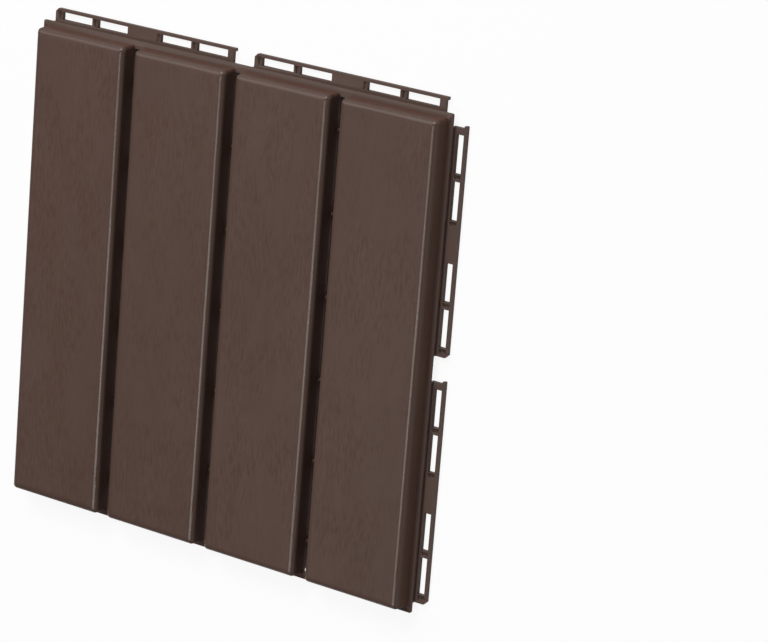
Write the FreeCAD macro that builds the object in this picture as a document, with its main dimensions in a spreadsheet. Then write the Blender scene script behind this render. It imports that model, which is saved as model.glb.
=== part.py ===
"""Interlocking deck tile with four raised slats.

One injection-moulded piece. Four hollow slats stand on a square flange, open
below and stiffened by ribs. Two neighbouring sides carry slotted tab frames
low down, and the other two carry pairs of tongues under the flange that drop
into the slots of the next tile. The tongues and slots follow the slat pitch
on both pairs of sides, so a tile can be laid in line or turned by a quarter.

The origin is the middle of the tile's own square of the laying grid, on the
ground. X runs across the slats and Y along them. The tab frames are on the
+X and +Y sides, the tongues on the -X and -Y sides.
"""
import FreeCAD
import Part
import Sketcher
import os

doc = FreeCAD.newDocument("DeckTile")

# Driving dimensions, in millimetres and degrees

SIZES = [
    ("slat_pitch", 75.0, "slat to slat, a quarter of the laying grid"),
    ("slat_gap", 8.3, "open gap between two slats, at the top"),
    ("deck_height", 17.0, "ground to walking surface"),
    ("flange_lift", 4.5, "ground to underside of flange"),
    ("flange_thickness", 1.4, "flange plate"),
    ("joint_gap", 1.6, "between the flanges of two joined tiles"),
    ("draft_angle", 9.0, "lean of the slat walls"),
    ("wall_thickness", 1.8, "slat walls"),
    ("top_thickness", 2.0, "walking surface"),
    ("edge_radius", 2.2, "rounding round each slat's top"),
    ("corner_radius", 2.6, "upright corners of the slats"),
    ("flange_corner_radius", 1.0, "corners of the flange"),
    ("gap_end_bar", 4.5, "flange left across each end of a gap"),
    ("rib_thickness", 1.6, "ribs under the slats"),
    ("rib_clearance", 2.0, "ground to underside of the long ribs"),
    ("rib_rise", 4.0, "slope at the foot of a rib, next to the tab frames"),
    ("rib_rows", 6.0, "cross ribs in an outer gap"),
    ("tongue_length", 22.0, "one tongue, along its side"),
    ("tongue_gap", 5.2, "open gap between the two tongues of a pair"),
    ("tongue_thickness", 4.4, "one tongue, across its side"),
    ("tongue_relief", 0.8, "hollow under the middle of a tongue"),
    ("tongue_pad", 4.0, "length of the foot at each end of a tongue"),
    ("end_clearance", 0.4, "tongue in slot, at each end"),
    ("side_clearance", 0.2, "tongue in slot, at each side"),
    ("tab_lift", 0.3, "ground to underside of the tab frames"),
    ("tab_height", 2.5, "depth of the tab frames"),
    ("tab_bar", 1.8, "outer bar of the tab frames"),
    ("tab_low_bar", 5.5, "bar at the end of a tab frame nearer the tongues"),
    ("tab_high_bar", 4.0, "bar at its other end"),
    ("tab_lip", 1.4, "outer bar past that other end"),
    ("tab_chamfer", 2.0, "outer corner of a tab frame"),
    ("recess_wall", 1.0, "between a slot and the recess beside it"),
    ("recess_floor", 0.8, "left under a recess"),
    ("skirt_thickness", 1.6, "wall that carries the tab frames"),
    ("corner_foot", 5.5, "square foot between the two tongue sides"),
]

# Sizes that follow from them

DERIVED = [
    ("grid_half", "=2 * slat_pitch"),
    ("field_half", "=grid_half - slat_gap / 2"),
    ("slat_half", "=(slat_pitch - slat_gap) / 2"),
    ("flange_half", "=grid_half - joint_gap / 2"),
    ("flange_top", "=flange_lift + flange_thickness"),
    ("lean", "=tan(draft_angle * 1 deg)"),
    ("lean_low", "=(deck_height - flange_lift) * lean"),
    ("lean_flange", "=(deck_height - flange_top) * lean"),
    ("rib_top", "=deck_height - top_thickness / 2"),
    ("lean_rib", "=(deck_height - rib_top) * lean"),
    ("rib_pitch", "=2 * grid_half / rib_rows"),
    ("tongue_spacing", "=tongue_length + tongue_gap"),
    ("slot_inner", "=grid_half + joint_gap / 2 - side_clearance"),
    ("slot_outer", "=slot_inner + tongue_thickness + 2 * side_clearance"),
    ("tab_outer", "=slot_outer + tab_bar"),
    ("slot_half", "=tongue_length / 2 + end_clearance"),
    ("slots_half", "=slat_pitch / 2 + tongue_spacing / 2 + slot_half"),
    ("tab_low", "=-slat_pitch - slots_half - tab_low_bar"),
    ("tab_high", "=-slat_pitch + slots_half + tab_high_bar"),
    ("recess_width", "=tongue_spacing - 2 * slot_half - 2 * recess_wall"),
    ("skirt_inner", "=flange_half - skirt_thickness"),
]

sheet = doc.addObject("Spreadsheet::Sheet", "Sizes")
for row, (alias, value, note) in enumerate(SIZES, start=1):
    sheet.set(f"A{row}", note)
    sheet.set(f"B{row}", str(value))
    sheet.setAlias(f"B{row}", alias)
for row, (alias, formula) in enumerate(DERIVED, start=len(SIZES) + 2):
    sheet.set(f"A{row}", alias.replace("_", " "))
    sheet.set(f"B{row}", formula)
    sheet.setAlias(f"B{row}", alias)
doc.recompute()

body = None


def new_body(name):
    """The body that the next sketches and features go into."""
    global body
    body = doc.addObject("PartDesign::Body", name)
    return body


def sized(text):
    """Expression text with each size's name pointed at the sheet."""
    names = [entry[0] for entry in SIZES] + [entry[0] for entry in DERIVED]
    words = text.replace("(", " ( ").replace(")", " ) ").replace("-", " - ").split()
    return " ".join("Sizes." + word if word in names else word for word in words)


def origin_feature(role):
    return [f for f in body.Origin.OriginFeatures if f.Role == role][0]


def new_sketch(name, plane, shift=None):
    """A sketch on one of the body's own planes, moved along its normal."""
    sketch = body.newObject("Sketcher::SketchObject", name)
    sketch.AttachmentSupport = (origin_feature(plane), [""])
    sketch.MapMode = "FlatFace"
    if shift:
        sketch.setExpression("AttachmentOffset.Base.z", sized(shift))
    return sketch


def outline(sketch, points):
    """A closed outline whose corners are placed by named distances."""
    first = sketch.GeometryCount
    ends = [FreeCAD.Vector(float(sketch.evalExpression(sized(across))),
                           float(sketch.evalExpression(sized(up))), 0)
            for across, up in points]
    count = len(points)
    for i in range(count):
        sketch.addGeometry(Part.LineSegment(ends[i], ends[(i + 1) % count]), False)
    for i in range(count):
        following = first + (i + 1) % count
        sketch.addConstraint(Sketcher.Constraint("Coincident", first + i, 2, following, 1))
    for i, (across, up) in enumerate(points):
        for kind, value, text in (("DistanceX", ends[i].x, across), ("DistanceY", ends[i].y, up)):
            index = sketch.addConstraint(Sketcher.Constraint(kind, -1, 1, first + i, 1, value))
            name = f"{'across' if kind == 'DistanceX' else 'up'}_{first + i}"
            sketch.renameConstraint(index, name)
            sketch.setExpression(f"Constraints.{name}", sized(text))


def rectangle(sketch, left, right, low, high):
    outline(sketch, [(left, low), (right, low), (right, high), (left, high)])


def pad(name, sketch, length, taper=None, symmetric=False):
    feature = body.newObject("PartDesign::Pad", name)
    feature.Profile = (sketch, [""])
    feature.setExpression("Length", sized(length))
    if taper:
        feature.setExpression("TaperAngle", sized(taper))
    if symmetric:
        feature.SideType = "Symmetric"
    finish(feature)
    return feature


def pocket(name, sketch, length, taper=None):
    """A cut that rises from its sketch, checked by the volume it removes."""
    before = body.Shape.Volume
    feature = body.newObject("PartDesign::Pocket", name)
    feature.Profile = (sketch, [""])
    feature.Reversed = True
    feature.setExpression("Length", sized(length))
    if taper:
        feature.setExpression("TaperAngle", sized(taper))
    finish(feature)
    if body.Shape.Volume > before - 1.0:
        raise RuntimeError(name + " removes nothing")
    return feature


def finish(feature):
    body.Tip = feature
    doc.recompute()


def row_of(name, features, axis, length, occurrences):
    """Repeats features along an axis of the body."""
    feature = body.newObject("PartDesign::LinearPattern", name)
    feature.Originals = features
    feature.Direction = (origin_feature(axis), [""])
    feature.setExpression("Length", sized(length))
    feature.setExpression("Occurrences", sized(occurrences))
    finish(feature)
    return feature


def round_edges(name, radius, wanted):
    """Rounds the edges of the solid so far that a test picks out."""
    base = body.Tip
    picked = [f"Edge{i + 1}" for i, edge in enumerate(base.Shape.Edges) if wanted(edge)]
    feature = body.newObject("PartDesign::Fillet", name)
    feature.Base = (base, picked)
    feature.setExpression("Radius", sized(radius))
    finish(feature)
    return feature


def size(alias):
    return float(sheet.get(alias))


# Flange plate and the foot at the corner between the tongue sides

shell = new_body("Shell")
sketch = new_sketch("FlangeOutline", "XY_Plane", "flange_lift")
rectangle(sketch, "-flange_half", "flange_half", "-flange_half", "flange_half")
pad("Flange", sketch, "flange_thickness")

sketch = new_sketch("CornerFootOutline", "XY_Plane")
rectangle(sketch, "-flange_half", "-flange_half + corner_foot",
          "-flange_half", "-flange_half + corner_foot")
pad("CornerFoot", sketch, "flange_top")

flange_half = size("flange_half")


def at_flange_corner(edge):
    box = edge.BoundBox
    at_x = abs(abs(box.Center.x) - flange_half) < 0.01 and box.XLength < 0.01
    at_y = abs(abs(box.Center.y) - flange_half) < 0.01 and box.YLength < 0.01
    return at_x and at_y


round_edges("FlangeCorners", "flange_corner_radius", at_flange_corner)

# Slats, with leaning walls and rounded edges

sketch = new_sketch("SlatOutline", "XY_Plane", "flange_lift")
rectangle(sketch, "-field_half - lean_low", "-field_half + 2 * slat_half + lean_low",
          "-field_half - lean_low", "field_half + lean_low")
slat = pad("Slat", sketch, "deck_height - flange_lift", taper="-draft_angle")
row_of("Slats", [slat], "X_Axis", "3 * slat_pitch", "4")

deck_height = size("deck_height")
flange_top = size("flange_top")


def at_slat_corner(edge):
    box = edge.BoundBox
    upright = box.ZLength > 0.9 * (deck_height - flange_top)
    return upright and box.XLength < 0.3 * box.ZLength and box.YLength < 0.3 * box.ZLength


def at_slat_top(edge):
    box = edge.BoundBox
    return box.ZMin > deck_height - 0.01


round_edges("SlatCorners", "corner_radius", at_slat_corner)
round_edges("SlatEdges", "edge_radius", at_slat_top)

# Open gaps between the slats, closed at each end by the flange

sketch = new_sketch("GapOutline", "XY_Plane")
rectangle(sketch, "-slat_pitch - slat_gap / 2 + lean_flange", "-slat_pitch + slat_gap / 2 - lean_flange",
          "-flange_half + gap_end_bar", "flange_half - gap_end_bar")
gap = pocket("Gap", sketch, "flange_top")
row_of("Gaps", [gap], "X_Axis", "2 * slat_pitch", "3")

# Hollow of each slat, open below

sketch = new_sketch("HollowOutline", "XY_Plane", "flange_lift")
rectangle(sketch, "-field_half - lean_low + wall_thickness",
          "-field_half + 2 * slat_half + lean_low - wall_thickness",
          "-field_half - lean_low + wall_thickness", "field_half + lean_low - wall_thickness")
hollow = pocket("Hollow", sketch, "deck_height - top_thickness - flange_lift", taper="-draft_angle")
row_of("Hollows", [hollow], "X_Axis", "3 * slat_pitch", "4")

# Long rib down the middle of each slat, let into the end walls

ribs = new_body("Ribs")
sketch = new_sketch("LongRibProfile", "YZ_Plane", "-1.5 * slat_pitch")
low_end = "field_half + lean_low - wall_thickness / 2"
high_end = "field_half + lean_rib - wall_thickness / 2"
outline(sketch, [("-( " + low_end + " )", "rib_clearance"), (low_end, "rib_clearance"),
                 (low_end, "flange_lift"), (high_end, "rib_top"),
                 ("-( " + high_end + " )", "rib_top"), ("-( " + low_end + " )", "flange_lift")])
long_rib = pad("LongRib", sketch, "rib_thickness", symmetric=True)
row_of("LongRibs", [long_rib], "X_Axis", "3 * slat_pitch", "4")


def bridging_rib(sketch, middle):
    """Cross rib from slat middle to slat middle, low where it crosses the gap."""
    near = "slat_gap / 2 - lean_flange + wall_thickness / 2"
    far = "slat_gap / 2 - lean_rib + wall_thickness / 2"
    outline(sketch, [(middle + " - slat_pitch / 2", "0"), (middle + " + slat_pitch / 2", "0"),
                     (middle + " + slat_pitch / 2", "rib_top"), (middle + " + " + far, "rib_top"),
                     (middle + " + " + near, "flange_top"), (middle + " - ( " + near + " )", "flange_top"),
                     (middle + " - ( " + far + " )", "rib_top"), (middle + " - slat_pitch / 2", "rib_top")])


# Cross ribs of the two outer gaps

sketch = new_sketch("OuterRibProfile", "XZ_Plane", "( rib_rows - 1 ) / 2 * rib_pitch")
bridging_rib(sketch, "-slat_pitch")
bridging_rib(sketch, "slat_pitch")
rib = pad("OuterRib", sketch, "rib_thickness", symmetric=True)
row_of("OuterRibs", [rib], "Y_Axis", "( rib_rows - 1 ) * rib_pitch", "rib_rows")

# Cross ribs of the middle gap and out to the two outer walls, half a pitch away

low_wall = "( field_half + lean_low - wall_thickness / 2 )"
high_wall = "( field_half + lean_rib - wall_thickness / 2 )"
inner_tongue = "( flange_half - tongue_thickness )"
sketch = new_sketch("MiddleRibProfile", "XZ_Plane", "( rib_rows - 2 ) / 2 * rib_pitch")
bridging_rib(sketch, "0 * slat_pitch")
outline(sketch, [("-" + inner_tongue, "0"), ("-1.5 * slat_pitch", "0"), ("-1.5 * slat_pitch", "rib_top"),
                 ("-" + high_wall, "rib_top"), ("-" + low_wall, "flange_lift"),
                 ("-" + inner_tongue, "flange_lift")])
outline(sketch, [("1.5 * slat_pitch", "0"), ("skirt_inner - rib_rise", "0"), ("skirt_inner", "flange_lift"),
                 (low_wall, "flange_lift"), (high_wall, "rib_top"), ("1.5 * slat_pitch", "rib_top")])
rib = pad("MiddleRib", sketch, "rib_thickness", symmetric=True)
row_of("MiddleRibs", [rib], "Y_Axis", "( rib_rows - 2 ) * rib_pitch", "rib_rows - 1")

# Skirt and slotted tab frames of the +Y side, in two lengths

tabs = new_body("Tabs")
sketch = new_sketch("SkirtOutline", "XY_Plane", "tab_lift")
rectangle(sketch, "tab_low", "tab_high", "skirt_inner", "flange_half")
skirt = pad("Skirt", sketch, "flange_top - tab_lift")


def tab_frame(sketch):
    """Outline of one frame, chamfered at one end and lipped at the other, with its four slots."""
    outline(sketch, [("tab_low", "skirt_inner"), ("tab_high", "skirt_inner"), ("tab_high", "slot_outer"),
                     ("tab_high + tab_lip", "slot_outer"), ("tab_high + tab_lip", "tab_outer"),
                     ("tab_low + tab_chamfer", "tab_outer"), ("tab_low", "tab_outer - tab_chamfer")])
    for pair in ("-1.5 * slat_pitch", "-0.5 * slat_pitch"):
        for side in (" - tongue_spacing / 2", " + tongue_spacing / 2"):
            rectangle(sketch, pair + side + " - slot_half", pair + side + " + slot_half",
                      "slot_inner", "slot_outer")


# Each pair of slots has a shallow recess between the two and another before the first

sketch = new_sketch("TabFloorOutline", "XY_Plane", "tab_lift")
tab_frame(sketch)
tab_floor = pad("TabFloor", sketch, "recess_floor")
sketch = new_sketch("TabOutline", "XY_Plane", "tab_lift + recess_floor")
tab_frame(sketch)
for pair in ("-1.5 * slat_pitch", "-0.5 * slat_pitch"):
    before = pair + " - tongue_spacing / 2 - slot_half - recess_wall"
    rectangle(sketch, before + " - recess_width", before, "slot_inner", "slot_outer")
    rectangle(sketch, pair + " - recess_width / 2", pair + " + recess_width / 2", "slot_inner", "slot_outer")
frame = pad("TabFrame", sketch, "tab_height - recess_floor")
row_of("TabFrames", [skirt, tab_floor, frame], "X_Axis", "2 * slat_pitch", "2")

# Tongues in pairs under the -Y side, each hollowed underneath so that it stands on its two ends

tongues = new_body("Tongues")
sketch = new_sketch("TongueProfile", "XZ_Plane", "flange_half - tongue_thickness / 2")
for pair_side in ("- tongue_spacing / 2", "+ tongue_spacing / 2"):
    middle = "-1.5 * slat_pitch " + pair_side
    left = middle + " - tongue_length / 2"
    right = middle + " + tongue_length / 2"
    outline(sketch, [(left, "0"), (left + " + tongue_pad", "0"), (left + " + tongue_pad", "tongue_relief"),
                     (right + " - tongue_pad", "tongue_relief"), (right + " - tongue_pad", "0"), (right, "0"),
                     (right, "flange_top"), (left, "flange_top")])
tongue = pad("Tongue", sketch, "tongue_thickness", symmetric=True)
row_of("TongueRow", [tongue], "X_Axis", "3 * slat_pitch", "4")

# The other two sides carry the same, mirrored about the tile's diagonal


def across_diagonal(name, source):
    mirrored = doc.addObject("Part::Mirroring", name)
    mirrored.Source = source
    mirrored.Base = FreeCAD.Vector(0, 0, 0)
    mirrored.Normal = FreeCAD.Vector(1, -1, 0)
    return mirrored


turned_tabs = across_diagonal("TurnedTabs", tabs)
turned_tongues = across_diagonal("TurnedTongues", tongues)

# One moulding

tile = doc.addObject("Part::MultiFuse", "deck_tile")
tile.Label = "deck_tile"
tile.Shapes = [shell, ribs, tabs, turned_tabs, tongues, turned_tongues]
tile.Refine = True
tile.Placement = FreeCAD.Placement()
doc.recompute()

# Checks, then one file for the one piece

for item in doc.Objects:
    if "Invalid" in item.State or "Error" in item.State:
        raise RuntimeError(item.Name + " did not build: " + str(item.State))

shape = tile.Shape
if shape.isNull() or not shape.isValid() or len(shape.Solids) != 1:
    raise RuntimeError("deck_tile is not one valid solid")

os.makedirs("parts", exist_ok=True)
shape.exportStep("parts/deck_tile.step")
box = shape.BoundBox
print("box", [round(v, 3) for v in (box.XMin, box.YMin, box.ZMin, box.XMax, box.YMax, box.ZMax)])
print("volume", round(shape.Volume, 1), "faces", len(shape.Faces))
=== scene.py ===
"""Interlocking deck tile: the looks of its one moulded piece, and the stage it is seen on.

The tile lies on its feet at the origin, X across the slats and Y along them.
Its slats' walls stand steeper than the solid's, and their edges are rounder: see reshape_edges.
Every size is in metres.
"""
import math

import bmesh
import bpy
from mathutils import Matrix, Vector


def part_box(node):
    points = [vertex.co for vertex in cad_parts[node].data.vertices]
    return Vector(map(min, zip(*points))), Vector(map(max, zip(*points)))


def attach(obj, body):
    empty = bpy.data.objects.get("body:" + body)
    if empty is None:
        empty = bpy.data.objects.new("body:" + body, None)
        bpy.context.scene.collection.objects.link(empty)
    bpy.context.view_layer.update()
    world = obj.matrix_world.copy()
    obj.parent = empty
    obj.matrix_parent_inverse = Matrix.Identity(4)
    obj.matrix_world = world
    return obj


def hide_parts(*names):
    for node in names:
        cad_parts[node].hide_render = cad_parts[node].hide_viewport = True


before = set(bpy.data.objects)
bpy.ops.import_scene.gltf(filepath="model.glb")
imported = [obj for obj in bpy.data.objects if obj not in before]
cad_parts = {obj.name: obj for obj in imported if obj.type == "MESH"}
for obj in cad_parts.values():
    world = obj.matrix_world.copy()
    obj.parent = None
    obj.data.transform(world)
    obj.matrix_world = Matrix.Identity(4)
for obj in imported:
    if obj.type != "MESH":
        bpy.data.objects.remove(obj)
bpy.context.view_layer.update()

bl_info = {
    "name": "Interlocking Deck Tile",
    "version": (1, 0, 0),
    "blender": (4, 5, 0),
    "location": "3D View > Sidebar > Deck Tile",
    "description": "Dresses a moulded deck tile with embossed wood grain and sets its stage",
    "category": "Object",
}

TILE_LOW, TILE_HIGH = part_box("deck_tile")
SLATS = 4
RIGHT_ANGLE = math.pi / 2

# Tolerances

WELD = 2e-6    # corners nearer to each other than this are joined
CUT = 1e-7     # corners nearer to a cut than this lie in it
LEVEL = 1e-5   # corners no further below the walking surface than this are on it
CLOSE = 3e-5   # corners nearer to a slat's skin than this are on it

# Grain: ranges are the values of a noise that become 0 and 1

PORE_RANGE = (0.40, 0.68)
THICK_RANGE = (0.36, 0.60)
THICK_SCALE = 2.2                   # against the figure's own size
THIN_SHARE = 0.25                   # depth of the pores where they are thin
LINE_SCALE = 1.6                    # against the figure's own size
LINE_COUNT = 11.0                   # growth lines over the whole range of the noise
THICK_SEED, LINE_SEED = 3.7, 8.1    # added to the seed
PORE_PRESS, LINE_PRESS = 0.8, 0.2   # shares of the relief's depth

# Plastic: scales are the noise's, per metre

BLOTCH_SCALE = (16, 7, 16)
FIBRE_SCALE = (900, 70, 900)
SKIN_SCALE = 1400.0
BLOTCH_RANGE = (0.35, 0.7)
BLOTCH_PALE, FIBRE_PALE = 0.55, 0.45      # shares in how pale the plastic is
LINE_PITS = 0.25                          # how dark a growth line is, against a pore
PATCH_SKIN, PATCH_BLOTCH = 0.4, 0.6       # shares in how dull a patch is
PATCH_RANGE = (0.3, 0.7)
PATCH_ROUGH = (0.92, 1.10)                # what the roughness is multiplied by over that range
SKIN_RELIEF = 0.5                         # against the fibres'
IOR = 1.5

# Zones of the plastic, by height: where each one is whole, and where it has faded out

TOP_WHOLE, TOP_ENDS = 0.0002, 0.0004          # below the walking surface
WALL_WHOLE, WALL_ENDS = 0.6, 0.25             # below it, as shares of the edge's drop
# The shade zone is where the walls' painted shade lies
SHADE_WHOLE, SHADE_ENDS = 1.6, 0.8            # the same
FLANGE_WHOLE, FLANGE_ENDS = 0.0002, 0.0008    # above the flange

# Stage

WHITE_WHOLE, WHITE_ENDS = 0.0038, 0.0048    # how far in from the tile's outline, on the floor
WHITE_SHARE = 0.9                           # of the white glow, in what is seen of the floor
SENSOR_WIDTH = 36                           # millimetres
NEAREST_SEEN, FARTHEST_SEEN = 0.05, 50

# Softboxes, aimed at the origin: place, width, depth, and the property that has the power

SOFTBOXES = {
    "softbox_back": ((-0.16, 1.90, 1.76), 1.2, 1.0, "back_lamp"),
    "softbox_left": ((-1.1, 1.0, 1.3), 1.4, 1.4, "left_lamp"),
    "softbox_right": ((2.0, 0.1, 0.45), 0.8, 0.5, "right_lamp"),
    "softbox_above": ((0.02, -0.55, 1.81), 0.75, 0.6, "above_lamp"),
}


# Properties

class DeckTileSizes(bpy.types.PropertyGroup):
    """Sizes of the tile that its grain and its slats' edges depend on."""
    slat_pitch: bpy.props.FloatProperty(
        name="Slat Pitch", description="Distance from one slat to the next",
        default=0.075, min=0.01, subtype="DISTANCE", unit="LENGTH", precision=4)
    slat_gap: bpy.props.FloatProperty(
        name="Slat Gap", description="Open gap between two slats at the walking surface",
        default=0.0083, min=0.001, subtype="DISTANCE", unit="LENGTH", precision=4)
    edge_margin: bpy.props.FloatProperty(
        name="Edge Margin", description="Rounded edge of a slat, which carries no grain",
        default=0.0028, min=0.0, subtype="DISTANCE", unit="LENGTH", precision=4)
    edge_fade: bpy.props.FloatProperty(
        name="Edge Fade", description="Width over which the grain fades out at a slat's edge",
        default=0.0014, min=0.0001, subtype="DISTANCE", unit="LENGTH", precision=4)
    edge_drop: bpy.props.FloatProperty(
        name="Edge Drop", description="How far below the walking surface the rounded edge ends",
        default=0.0028, min=0.0001, subtype="DISTANCE", unit="LENGTH", precision=4)
    cell_across: bpy.props.FloatProperty(
        name="Cell Across", description="Spacing of the relief's points across a slat",
        default=0.0005, min=0.0002, subtype="DISTANCE", unit="LENGTH", precision=5)
    cell_along: bpy.props.FloatProperty(
        name="Cell Along", description="Spacing of the relief's points along a slat",
        default=0.003, min=0.001, subtype="DISTANCE", unit="LENGTH", precision=4)
    flange_top: bpy.props.FloatProperty(
        name="Flange Top", description="Height of the flange that the slat walls rise from",
        default=0.0059, min=0.0, subtype="DISTANCE", unit="LENGTH", precision=4)
    flange_under: bpy.props.FloatProperty(
        name="Flange Underside", description="Height that the slat walls go down to in the gaps",
        default=0.0045, min=0.0, subtype="DISTANCE", unit="LENGTH", precision=4)
    solid_lean: bpy.props.FloatProperty(
        name="Solid Lean", description="Lean of the slat walls in the solid",
        default=math.radians(9), subtype="ANGLE", unit="ROTATION")
    solid_radius: bpy.props.FloatProperty(
        name="Solid Edge Radius", description="Rounding round the slats' tops in the solid",
        default=0.0022, min=0.0001, subtype="DISTANCE", unit="LENGTH", precision=4)
    wall_lean: bpy.props.FloatProperty(
        name="Wall Lean", description="Lean of the slat walls as they are seen",
        default=math.radians(3), subtype="ANGLE", unit="ROTATION")
    edge_radius: bpy.props.FloatProperty(
        name="Edge Radius", description="Rounding round the slats' tops as it is seen",
        default=0.003, min=0.0001, subtype="DISTANCE", unit="LENGTH", precision=4)
    edge_reach: bpy.props.FloatProperty(
        name="Edge Reach", description="How far in from the skin the change of section fades out",
        default=0.008, min=0.001, subtype="DISTANCE", unit="LENGTH", precision=4)
    sharp_angle: bpy.props.FloatProperty(
        name="Sharp Angle", description="Edges that turn by more than this stay sharp",
        default=math.radians(32), subtype="ANGLE", unit="ROTATION")


class DeckTileGrain(bpy.types.PropertyGroup):
    """The wood grain embossed in the walking surface."""
    relief_depth: bpy.props.FloatProperty(
        name="Relief Depth", description="Depth of the deepest pores",
        default=0.00009, min=0.0, max=0.0005, subtype="DISTANCE", unit="LENGTH", precision=6)
    pore_width: bpy.props.FloatProperty(
        name="Pore Width", description="Spacing of the pores across the slat",
        default=0.0014, min=0.0002, subtype="DISTANCE", unit="LENGTH", precision=5)
    pore_length: bpy.props.FloatProperty(
        name="Pore Length", description="Length of one pore along the slat",
        default=0.008, min=0.001, subtype="DISTANCE", unit="LENGTH", precision=4)
    figure_width: bpy.props.FloatProperty(
        name="Figure Width", description="Spacing of the growth lines' arches across the slat",
        default=0.045, min=0.005, subtype="DISTANCE", unit="LENGTH", precision=4)
    figure_length: bpy.props.FloatProperty(
        name="Figure Length", description="Length of the growth lines' arches along the slat",
        default=0.075, min=0.01, subtype="DISTANCE", unit="LENGTH", precision=4)
    wander: bpy.props.FloatProperty(
        name="Wander", description="How far the grain strays sideways",
        default=0.026, min=0.0, subtype="DISTANCE", unit="LENGTH", precision=4)
    seed: bpy.props.IntProperty(
        name="Seed", description="Which board the grain is taken from", default=11, min=0)


class DeckTilePlastic(bpy.types.PropertyGroup):
    """Colour and finish of the moulded plastic."""
    brown: bpy.props.FloatVectorProperty(
        name="Brown", description="Main colour of the plastic", subtype="COLOR", size=3,
        min=0.0, max=1.0, default=(0.0752, 0.0426, 0.0324))
    brown_dark: bpy.props.FloatVectorProperty(
        name="Dark Brown", description="Colour down in the pores", subtype="COLOR", size=3,
        min=0.0, max=1.0, default=(0.0640, 0.0325, 0.0225))
    brown_light: bpy.props.FloatVectorProperty(
        name="Light Brown", description="Colour of the paler flow marks", subtype="COLOR", size=3,
        min=0.0, max=1.0, default=(0.0845, 0.0485, 0.0370))
    # Painted shade: the walls get this darker, redder brown for the shade that falls on them, though
    # the plastic is one colour
    wall_shade_brown: bpy.props.FloatVectorProperty(
        name="Wall Brown", description="Colour of the slats' dull walls", subtype="COLOR", size=3,
        min=0.0, max=1.0, default=(0.0690, 0.0285, 0.0165))
    gloss: bpy.props.FloatProperty(
        name="Gloss", description="How much of the light the plastic's skin reflects",
        default=0.38, min=0.0, max=1.0, subtype="FACTOR")
    rough_edge: bpy.props.FloatProperty(
        name="Roughness, Edges", description="Roughness of the smooth rounded edges",
        default=0.31, min=0.0, max=1.0, subtype="FACTOR")
    rough_top: bpy.props.FloatProperty(
        name="Roughness, Tops", description="Roughness of the grained walking surface",
        default=0.52, min=0.0, max=1.0, subtype="FACTOR")
    rough_wall: bpy.props.FloatProperty(
        name="Roughness, Walls", description="Roughness of the slats' dull walls",
        default=0.78, min=0.0, max=1.0, subtype="FACTOR")
    rough_low: bpy.props.FloatProperty(
        name="Roughness, Flange", description="Roughness of the flange, tab frames and tongues",
        default=0.62, min=0.0, max=1.0, subtype="FACTOR")
    skin_bump: bpy.props.FloatProperty(
        name="Skin Bump", description="Depth of the mould's fine texture",
        default=0.000012, min=0.0, subtype="DISTANCE", unit="LENGTH", precision=6)


class DeckTileStage(bpy.types.PropertyGroup):
    """Floor, lamps and camera."""
    floor_colour: bpy.props.FloatVectorProperty(
        name="Floor Colour", description="Colour of the floor as it lights the tile",
        subtype="COLOR", size=3, min=0.0, max=1.0, default=(0.80, 0.80, 0.80))
    floor_size: bpy.props.FloatProperty(
        name="Floor Size", description="Side of the square floor",
        default=8.0, min=1.0, subtype="DISTANCE", unit="LENGTH")
    sky: bpy.props.FloatProperty(
        name="Sky Strength", description="Strength of the even light from all round",
        default=0.105, min=0.0)
    back_lamp: bpy.props.FloatProperty(
        name="Back Lamp", description="Power of the wide softbox past the ends of the slats",
        default=50.0, min=0.0, unit="POWER")
    left_lamp: bpy.props.FloatProperty(
        name="Left Lamp", description="Power of the softbox to the left, which lights the slats' ends",
        default=11.0, min=0.0, unit="POWER")
    above_lamp: bpy.props.FloatProperty(
        name="Lamp Above", description="Power of the softbox above, which lights the long edges",
        default=10.6, min=0.0, unit="POWER")
    right_lamp: bpy.props.FloatProperty(
        name="Right Lamp", description="Power of the low softbox that opens up the outer long wall",
        default=3.4, min=0.0, unit="POWER")
    camera_place: bpy.props.FloatVectorProperty(
        name="Camera Place", description="Where the camera stands", subtype="XYZ", unit="LENGTH",
        size=3, default=(1.24213, 0.60734, 1.69205))
    camera_turn: bpy.props.FloatVectorProperty(
        name="Camera Turn", description="How the camera is turned",
        subtype="EULER", unit="ROTATION", size=3,
        default=(math.radians(-13.0452), math.radians(34.9626), math.radians(5.4778)))
    camera_lens: bpy.props.FloatProperty(
        name="Camera Lens", description="Focal length of the camera, in millimetres",
        default=172.5, min=20.0, unit="CAMERA")


# Node helpers

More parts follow.
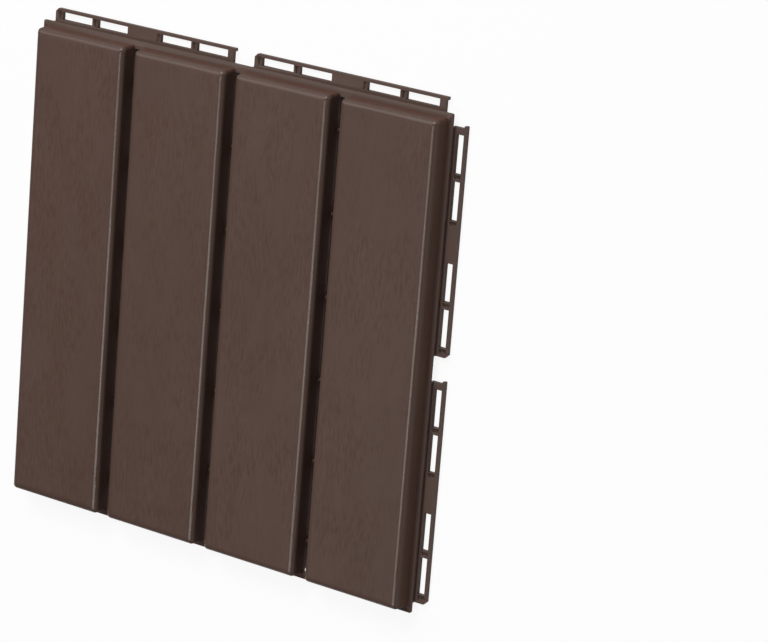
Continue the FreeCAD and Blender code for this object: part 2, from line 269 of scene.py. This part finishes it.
class Tree:
    """Adds nodes to a tree and links them, for geometry and for materials alike."""

    def __init__(self, tree):
        self.tree = tree

    def node(self, kind, inputs=None, **settings):
        made = self.tree.nodes.new(kind)
        for name, value in settings.items():
            setattr(made, name, value)
        for key, value in (inputs or {}).items():
            self.feed(made.inputs[key], value)
        return made

    def feed(self, socket, value):
        if isinstance(value, bpy.types.NodeSocket):
            self.tree.links.new(value, socket)
        else:
            socket.default_value = value

    def maths(self, operation, first, second=0.0, third=0.0, clamp=False):
        made = self.node("ShaderNodeMath", {0: first, 1: second, 2: third},
                         operation=operation, use_clamp=clamp)
        return made.outputs[0]

    def ramp(self, value, low, high, to_low=0.0, to_high=1.0, smooth=True):
        """Maps low to high onto another range, and holds the value at its ends."""
        made = self.node("ShaderNodeMapRange",
                         {"Value": value, "From Min": low, "From Max": high,
                          "To Min": to_low, "To Max": to_high},
                         interpolation_type="SMOOTHSTEP" if smooth else "LINEAR", clamp=True)
        return made.outputs["Result"]

    def blend(self, share, first, second):
        """The first number where the share is 0 and the second where it is 1."""
        return self.node("ShaderNodeMix", {"Factor": share, "A": first, "B": second}).outputs[0]

    def tint(self, share, first, second):
        """The same for two colours, which are the Mix node's sockets 6 and 7 in and 2 out."""
        made = self.node("ShaderNodeMix", {"Factor": share, 6: first, 7: second}, data_type="RGBA")
        return made.outputs[2]

    def split(self, vector):
        return self.node("ShaderNodeSeparateXYZ", {0: vector}).outputs

    def join(self, x, y, z=0.0):
        return self.node("ShaderNodeCombineXYZ", {0: x, 1: y, 2: z}).outputs[0]

    def noise(self, vector, scale, detail, rough, w=None):
        inputs = {"Vector": vector, "Scale": scale, "Detail": detail, "Roughness": rough}
        if w is None:
            return self.node("ShaderNodeTexNoise", inputs, noise_dimensions="3D").outputs[0]
        return self.node("ShaderNodeTexNoise", {**inputs, "W": w}, noise_dimensions="4D").outputs[0]

    def stretched(self, vector, scale):
        """The vector with each of its parts scaled by itself."""
        return self.node("ShaderNodeMapping", {"Vector": vector, "Scale": scale}).outputs[0]


def grain_lines(tree, position, grain):
    """Pores along the slat that stray sideways, thick in some places and thin in others.

    Gives the depth of the pores, 0 to 1, and the broad growth lines, 0 to 1.
    """
    x, y, _ = tree.split(position)
    seed = grain["Seed"]
    broad = tree.join(tree.maths("DIVIDE", x, grain["Figure Width"]),
                      tree.maths("DIVIDE", y, grain["Figure Length"]))
    stray = tree.noise(broad, 1.0, detail=1.5, rough=0.5, w=seed)
    stray = tree.maths("SUBTRACT", stray, 0.5)
    across = tree.maths("MULTIPLY_ADD", stray, grain["Wander"], x)
    pore_place = tree.join(tree.maths("DIVIDE", across, grain["Pore Width"]),
                           tree.maths("DIVIDE", y, grain["Pore Length"]))
    pores = tree.noise(pore_place, 1.0, detail=2.0, rough=0.6, w=seed)
    pores = tree.ramp(pores, *PORE_RANGE)
    thick_seed = tree.maths("ADD", seed, THICK_SEED)
    thick = tree.noise(broad, THICK_SCALE, detail=2.0, rough=0.5, w=thick_seed)
    thick = tree.ramp(thick, *THICK_RANGE)
    line_length = tree.maths("MULTIPLY", grain["Figure Length"], 2.0)
    line_place = tree.join(tree.maths("DIVIDE", across, grain["Figure Width"]),
                           tree.maths("DIVIDE", y, line_length))
    line_seed = tree.maths("ADD", seed, LINE_SEED)
    lines = tree.noise(line_place, LINE_SCALE, detail=1.0, rough=0.5, w=line_seed)
    lines = tree.maths("PINGPONG", tree.maths("MULTIPLY", lines, LINE_COUNT), 1.0)
    share = tree.maths("MULTIPLY_ADD", thick, 1 - THIN_SHARE, THIN_SHARE)
    return tree.maths("MULTIPLY", pores, share), lines


def grained(tree, position, given):
    """1 on the flat of a slat's top, fading to 0 where its rounded edge begins."""
    x, y, _ = tree.split(position)
    from_middle = tree.maths("ABSOLUTE", tree.maths(
        "SUBTRACT", tree.maths("FLOORED_MODULO", x, given["Slat Pitch"]),
        tree.maths("DIVIDE", given["Slat Pitch"], 2.0)))
    to_side = tree.maths("SUBTRACT", given["Slat Half Width"], from_middle)
    to_end = tree.maths("SUBTRACT", given["Slat Half Length"], tree.maths("ABSOLUTE", y))
    return tree.ramp(tree.maths("MINIMUM", to_side, to_end), 0.0, given["Edge Fade"])


# The tile

def tile_copy(sizes):
    """The tile's mesh with its corners joined and its slat tops divided into fine cells."""
    shape = bmesh.new()
    shape.from_mesh(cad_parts["deck_tile"].data)
    bmesh.ops.remove_doubles(shape, verts=shape.verts[:], dist=WELD)
    level = TILE_HIGH.z - LEVEL
    tops = [f for f in shape.faces if all(v.co.z > level for v in f.verts)]
    bmesh.ops.dissolve_faces(shape, faces=tops, use_verts=False)
    tops = [f for f in shape.faces if all(v.co.z > level for v in f.verts)]
    if len(tops) != SLATS:
        raise RuntimeError(f"the tile has {len(tops)} slat tops and not {SLATS}")
    cells = []
    for top in tops:
        cells += divided(shape, [top], 0, sizes.cell_across)
    divided(shape, cells, 1, sizes.cell_along)
    loose = [v for v in shape.verts if not v.link_faces]
    bmesh.ops.delete(shape, geom=loose, context="VERTS")
    reshape_edges(shape, sizes)
    mesh = bpy.data.meshes.new("moulded_tile")
    shape.to_mesh(mesh)
    shape.free()
    for face in mesh.polygons:
        face.use_smooth = True
    mesh.set_sharp_from_angle(angle=sizes.sharp_angle)
    return mesh


def slat_halves(sizes):
    """Half a slat's width and half its length, at the walking surface."""
    return ((sizes.slat_pitch - sizes.slat_gap) / 2,
            SLATS / 2 * sizes.slat_pitch - sizes.slat_gap / 2)


def section(depth, lean, radius, turn=None):
    """Point of a slat's skin: how far out from where wall and top would meet, and how deep.

    On the rounding the point is given by how far it has turned, 0 on top and 1 at the wall.
    """
    if turn is None:
        return depth * math.tan(lean), depth
    angle = RIGHT_ANGLE - turn * (RIGHT_ANGLE - lean)
    inset = radius * (1 - math.sin(lean)) / math.cos(lean)
    return radius * math.cos(angle) - inset, radius * (1 - math.sin(angle))


def reshape_edges(shape, sizes):
    """Stands the slat walls steeper and rounds their tops more, inside the solid's own skin.

    A corner on the solid's skin moves in to the new skin. A corner further in moves less, and
    one beyond the edge's reach stays. Below the flange's top only the walls in the gaps move.
    """
    half_width, half_length = slat_halves(sizes)
    solid = (sizes.solid_lean, sizes.solid_radius)
    seen = (sizes.wall_lean, sizes.edge_radius)
    round_end = sizes.solid_radius * (1 - math.sin(sizes.solid_lean)) + CLOSE
    for corner in shape.verts:
        x, y, z = corner.co
        depth = max(TILE_HIGH.z - z, 0.0)
        turn = None
        if depth < round_end:
            angle = math.asin(1 - depth / sizes.solid_radius)
            turn = min((RIGHT_ANGLE - angle) / (RIGHT_ANGLE - sizes.solid_lean), 1.0)
        skin = section(depth, *solid, turn)[0]
        new_skin, new_depth = section(depth, *seen, turn)
        slat = min(max(math.floor(x / sizes.slat_pitch), -SLATS // 2), SLATS // 2 - 1)
        centre = (slat + 0.5) * sizes.slat_pitch
        inside = [skin - (abs(x - centre) - half_width), skin - (abs(y) - half_length)]
        if min(inside) < -CLOSE or z < sizes.flange_under - CLOSE:
            continue
        fades = [max(1 - max(room, 0.0) / sizes.edge_reach, 0.0) ** 2 for room in inside]
        faces_out = abs(x) > abs(centre) and slat in (-SLATS // 2, SLATS // 2 - 1)
        above_flange = z > sizes.flange_top - CLOSE
        if above_flange or not faces_out:
            corner.co.x -= math.copysign((skin - new_skin) * fades[0], x - centre)
        if above_flange:
            corner.co.y -= math.copysign((skin - new_skin) * fades[1], y)
        if turn is not None:
            corner.co.z = TILE_HIGH.z - new_depth


def divided(shape, faces, axis, step):
    """Cuts faces into strips along an axis, each cut taking only what is still whole."""
    ends = [v.co[axis] for f in faces for v in f.verts]
    low, high = min(ends), max(ends)
    count = round((high - low) / step)
    normal = Vector((1, 0, 0)) if axis == 0 else Vector((0, 1, 0))
    rest, done = faces, []
    for i in range(1, count):
        place = low + (high - low) * i / count
        edges = {e for f in rest for e in f.edges}
        corners = {v for f in rest for v in f.verts}
        cut = bmesh.ops.bisect_plane(shape, geom=[*rest, *edges, *corners], dist=CUT,
                                     plane_co=normal * place, plane_no=normal)
        pieces = [g for g in cut["geom"] if isinstance(g, bmesh.types.BMFace)]
        rest = [f for f in pieces if f.calc_center_median()[axis] > place]
        done += [f for f in pieces if f.calc_center_median()[axis] <= place]
    return done + rest


def grain_tree(value_names):
    """Geometry nodes that press the wood grain into the slat tops."""
    group = bpy.data.node_groups.new("pressed_wood_grain", "GeometryNodeTree")
    face = group.interface
    face.new_socket("Geometry", in_out="INPUT", socket_type="NodeSocketGeometry")
    for name in value_names:
        face.new_socket(name, in_out="INPUT", socket_type="NodeSocketFloat")
    face.new_socket("Plastic", in_out="INPUT", socket_type="NodeSocketMaterial")
    face.new_socket("Geometry", in_out="OUTPUT", socket_type="NodeSocketGeometry")

    tree = Tree(group)
    given = tree.node("NodeGroupInput").outputs
    position = tree.node("GeometryNodeInputPosition").outputs[0]
    z = tree.split(position)[2]
    on_top = tree.maths("GREATER_THAN", z, tree.maths("SUBTRACT", given["Top Height"], LEVEL))
    depth, lines = grain_lines(tree, position, given)
    sunk = tree.maths("ADD", tree.maths("MULTIPLY", depth, PORE_PRESS),
                      tree.maths("MULTIPLY", lines, LINE_PRESS))
    drop = tree.maths("MULTIPLY", sunk, tree.maths("MULTIPLY", given["Relief Depth"], -1.0))
    offset = tree.join(0.0, 0.0, tree.maths("MULTIPLY", drop, grained(tree, position, given)))
    pressed = tree.node("GeometryNodeSetPosition",
                        {"Geometry": given["Geometry"], "Selection": on_top, "Offset": offset})
    real = tree.node("GeometryNodeRealizeInstances", {"Geometry": pressed.outputs[0]})
    dressed = tree.node("GeometryNodeSetMaterial",
                        {"Geometry": real.outputs[0], "Material": given["Plastic"]})
    tree.node("NodeGroupOutput", {"Geometry": dressed.outputs[0]})
    return group


def use_tree(thing, group, values):
    """Puts the tree on an object with its inputs set, before the object is first evaluated."""
    modifier = thing.modifiers.new(group.name, "NODES")
    modifier.node_group = group
    for item in group.interface.items_tree:
        if item.item_type == "SOCKET" and item.in_out == "INPUT" and item.name in values:
            modifier[item.identifier] = values[item.name]


def made_plain(thing):
    """Gives the object its evaluated mesh as a plain one, with its modifiers gone."""
    bpy.context.view_layer.update()
    seen = thing.evaluated_get(bpy.context.evaluated_depsgraph_get())
    mesh = bpy.data.meshes.new_from_object(seen)
    old = thing.data
    thing.modifiers.clear()
    thing.data = mesh
    bpy.data.meshes.remove(old)
    mesh.name = thing.name


def plastic_material(plastic, given, sizes):
    """Through-dyed plastic: grained tops, smooth rounded edges, and dull walls with painted shade in a
    darker, redder brown.
    """
    material = bpy.data.materials.new("brown_plastic")
    material.use_nodes = True
    material.node_tree.nodes.clear()
    tree = Tree(material.node_tree)
    place = tree.node("ShaderNodeTexCoord").outputs["Object"]
    z = tree.split(place)[2]
    top, drop, flange = given["Top Height"], sizes.edge_drop, sizes.flange_top
    on_top = tree.ramp(z, top - TOP_ENDS, top - TOP_WHOLE)
    on_top = tree.maths("MULTIPLY", on_top, grained(tree, place, given))
    on_wall = tree.ramp(z, top - drop * WALL_WHOLE, top - drop * WALL_ENDS, 1.0, 0.0)
    in_shade = tree.ramp(z, top - drop * SHADE_WHOLE, top - drop * SHADE_ENDS, 1.0, 0.0)
    on_flange = tree.ramp(z, flange + FLANGE_WHOLE, flange + FLANGE_ENDS, 1.0, 0.0)
    depth, lines = grain_lines(tree, place, given)

    # Colour: paler blotches and fibres, darker pores, and painted shade on the walls in a darker,
    # redder brown

    blotches = tree.noise(tree.stretched(place, BLOTCH_SCALE), 1.0, detail=3.0, rough=0.55)
    fibre = tree.noise(tree.stretched(place, FIBRE_SCALE), 1.0, detail=3.0, rough=0.6)
    fibre_on_top = tree.maths("MULTIPLY", fibre, on_top)
    pale = tree.maths("MULTIPLY", tree.ramp(blotches, *BLOTCH_RANGE), BLOTCH_PALE)
    pale = tree.maths("ADD", pale, tree.maths("MULTIPLY", fibre_on_top, FIBRE_PALE))
    colour = tree.tint(pale, (*plastic.brown, 1), (*plastic.brown_light, 1))
    pits = tree.maths("MULTIPLY_ADD", lines, LINE_PITS, depth)
    pits = tree.maths("MULTIPLY", pits, on_top, clamp=True)
    colour = tree.tint(pits, colour, (*plastic.brown_dark, 1))
    # Painted shade: below the rounded edge and down to the flange, the walls take the darker wall
    # brown
    painted_shade_share = tree.maths("SUBTRACT", in_shade, on_flange)
    colour = tree.tint(painted_shade_share, colour, (*plastic.wall_shade_brown, 1))

    # Finish: each zone's roughness, a little patchy, and the skin's fine texture

    skin = tree.noise(place, SKIN_SCALE, detail=3.0, rough=0.6)
    patchy = tree.maths("ADD", tree.maths("MULTIPLY", skin, PATCH_SKIN),
                        tree.maths("MULTIPLY", blotches, PATCH_BLOTCH))
    dull = tree.blend(on_top, plastic.rough_edge, plastic.rough_top)
    dull = tree.blend(on_wall, dull, plastic.rough_wall)
    dull = tree.blend(on_flange, dull, plastic.rough_low)
    times = tree.ramp(patchy, *PATCH_RANGE, *PATCH_ROUGH, smooth=False)
    rough = tree.maths("MULTIPLY", dull, times)
    height = tree.maths("MULTIPLY_ADD", skin, SKIN_RELIEF, fibre_on_top)
    bump = tree.node("ShaderNodeBump",
                     {"Strength": 1.0, "Distance": plastic.skin_bump, "Height": height})
    surface = tree.node("ShaderNodeBsdfPrincipled", {
        "Base Color": colour, "Roughness": rough, "IOR": IOR,
        "Specular IOR Level": plastic.gloss, "Normal": bump.outputs[0]})
    tree.node("ShaderNodeOutputMaterial", {"Surface": surface.outputs[0]})
    return material


class DECKTILE_OT_moulded_tile(bpy.types.Operator):
    """Makes the moulded tile, with wood grain pressed into its four slat tops"""
    bl_idname = "decktile.moulded_tile"
    bl_label = "Moulded Tile"

    def execute(self, context):
        scene = context.scene
        sizes, grain = scene.deck_tile_sizes, scene.deck_tile_grain
        half_width, half_length = slat_halves(sizes)
        values = {
            "Slat Pitch": sizes.slat_pitch, "Top Height": TILE_HIGH.z, "Edge Fade": sizes.edge_fade,
            "Slat Half Width": half_width - sizes.edge_margin,
            "Slat Half Length": half_length - sizes.edge_margin,
            "Relief Depth": grain.relief_depth, "Pore Width": grain.pore_width,
            "Pore Length": grain.pore_length, "Figure Width": grain.figure_width,
            "Figure Length": grain.figure_length, "Wander": grain.wander, "Seed": float(grain.seed)}
        tile = bpy.data.objects.new("moulded_tile", tile_copy(sizes))
        scene.collection.objects.link(tile)
        plastic = plastic_material(scene.deck_tile_plastic, values, sizes)
        tile.data.materials.append(plastic)
        use_tree(tile, grain_tree(list(values)), {**values, "Plastic": plastic})
        even = tile.modifiers.new("even_shading", "WEIGHTED_NORMAL")
        even.keep_sharp = True
        made_plain(tile)
        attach(tile, "root")
        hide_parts("deck_tile")
        return {"FINISHED"}


# The stage

def softbox(name, place, width, depth, power):
    """A soft rectangular lamp that looks at the origin."""
    lamp = bpy.data.lights.new(name, "AREA")
    lamp.shape = "RECTANGLE"
    lamp.size, lamp.size_y = width, depth
    lamp.energy = power
    holder = bpy.data.objects.new(name, lamp)
    holder.location = place
    holder.rotation_euler = (-Vector(place)).to_track_quat("-Z", "Y").to_euler()
    bpy.context.scene.collection.objects.link(holder)


def pale_floor(stage):
    """A wide floor under the feet: white behind the tile, and still showing its shadow."""
    half = stage.floor_size / 2
    corners = [(-half, -half, 0), (half, -half, 0), (half, half, 0), (-half, half, 0)]
    mesh = bpy.data.meshes.new("floor")
    mesh.from_pydata(corners, [], [(0, 1, 2, 3)])
    floor = bpy.data.objects.new("floor", mesh)
    bpy.context.scene.collection.objects.link(floor)
    material = bpy.data.materials.new("pale_floor")
    material.use_nodes = True
    material.node_tree.nodes.clear()
    tree = Tree(material.node_tree)
    rays = tree.node("ShaderNodeLightPath").outputs
    seen = tree.maths("MAXIMUM", rays["Is Camera Ray"],
                      tree.maths("MAXIMUM", rays["Is Glossy Ray"], rays["Is Transmission Ray"]))
    x, y, _ = tree.split(tree.node("ShaderNodeTexCoord").outputs["Object"])
    out = tree.maths("MAXIMUM", tree.maths("ABSOLUTE", x), tree.maths("ABSOLUTE", y))
    beside = tree.ramp(out, -TILE_LOW.x - WHITE_ENDS, -TILE_LOW.x - WHITE_WHOLE)
    paint = tree.node("ShaderNodeBsdfDiffuse", {"Color": (*stage.floor_colour, 1)})
    white = tree.node("ShaderNodeEmission", {"Color": (1, 1, 1, 1), "Strength": 1.0})
    share = tree.maths("MULTIPLY", tree.maths("MULTIPLY", seen, beside), WHITE_SHARE)
    mixed = tree.node("ShaderNodeMixShader", {0: share, 1: paint.outputs[0], 2: white.outputs[0]})
    tree.node("ShaderNodeOutputMaterial", {"Surface": mixed.outputs[0]})
    mesh.materials.append(material)


class DECKTILE_OT_stage(bpy.types.Operator):
    """Makes the pale floor, the soft lamps and the camera"""
    bl_idname = "decktile.stage"
    bl_label = "Stage"

    def execute(self, context):
        scene = context.scene
        stage = scene.deck_tile_stage
        pale_floor(stage)

        sky = bpy.data.worlds.new("soft_sky")
        sky.use_nodes = True
        sky.node_tree.nodes["Background"].inputs["Color"].default_value = (1, 1, 1, 1)
        sky.node_tree.nodes["Background"].inputs["Strength"].default_value = stage.sky
        scene.world = sky
        for name, (place, width, depth, power) in SOFTBOXES.items():
            softbox(name, place, width, depth, getattr(stage, power))

        lens = bpy.data.cameras.new("camera")
        lens.lens = stage.camera_lens
        lens.sensor_width = SENSOR_WIDTH
        lens.clip_start, lens.clip_end = NEAREST_SEEN, FARTHEST_SEEN
        camera = bpy.data.objects.new("camera", lens)
        camera.location = stage.camera_place
        camera.rotation_euler = stage.camera_turn
        scene.collection.objects.link(camera)
        scene.camera = camera
        scene.view_settings.view_transform = "Standard"
        return {"FINISHED"}


# The panel

class DECKTILE_PT_panel(bpy.types.Panel):
    """Sizes, colours and buttons of the deck tile"""
    bl_idname = "DECKTILE_PT_panel"
    bl_label = "Deck Tile"
    bl_space_type = "VIEW_3D"
    bl_region_type = "UI"
    bl_category = "Deck Tile"

    def draw(self, context):
        layout = self.layout
        scene = context.scene
        for pointer, (title, _) in GROUPS.items():
            group = getattr(scene, pointer)
            box = layout.box()
            box.label(text=title)
            for name in group.__annotations__:
                box.prop(group, name)
        for operator in (DECKTILE_OT_moulded_tile, DECKTILE_OT_stage):
            layout.operator(operator.bl_idname)


CLASSES = (DeckTileSizes, DeckTileGrain, DeckTilePlastic, DeckTileStage,
           DECKTILE_OT_moulded_tile, DECKTILE_OT_stage, DECKTILE_PT_panel)
GROUPS = {
    "deck_tile_sizes": ("Sizes", DeckTileSizes),
    "deck_tile_grain": ("Grain", DeckTileGrain),
    "deck_tile_plastic": ("Plastic", DeckTilePlastic),
    "deck_tile_stage": ("Stage", DeckTileStage),
}


def register():
    for made in CLASSES:
        bpy.utils.register_class(made)
    for pointer, (_, group) in GROUPS.items():
        setattr(bpy.types.Scene, pointer, bpy.props.PointerProperty(type=group))


def unregister():
    for pointer in GROUPS:
        delattr(bpy.types.Scene, pointer)
    for made in reversed(CLASSES):
        bpy.utils.unregister_class(made)


def main():
    register()
    bpy.ops.decktile.stage()
    bpy.ops.decktile.moulded_tile()


if __name__ == "__main__":
    main()
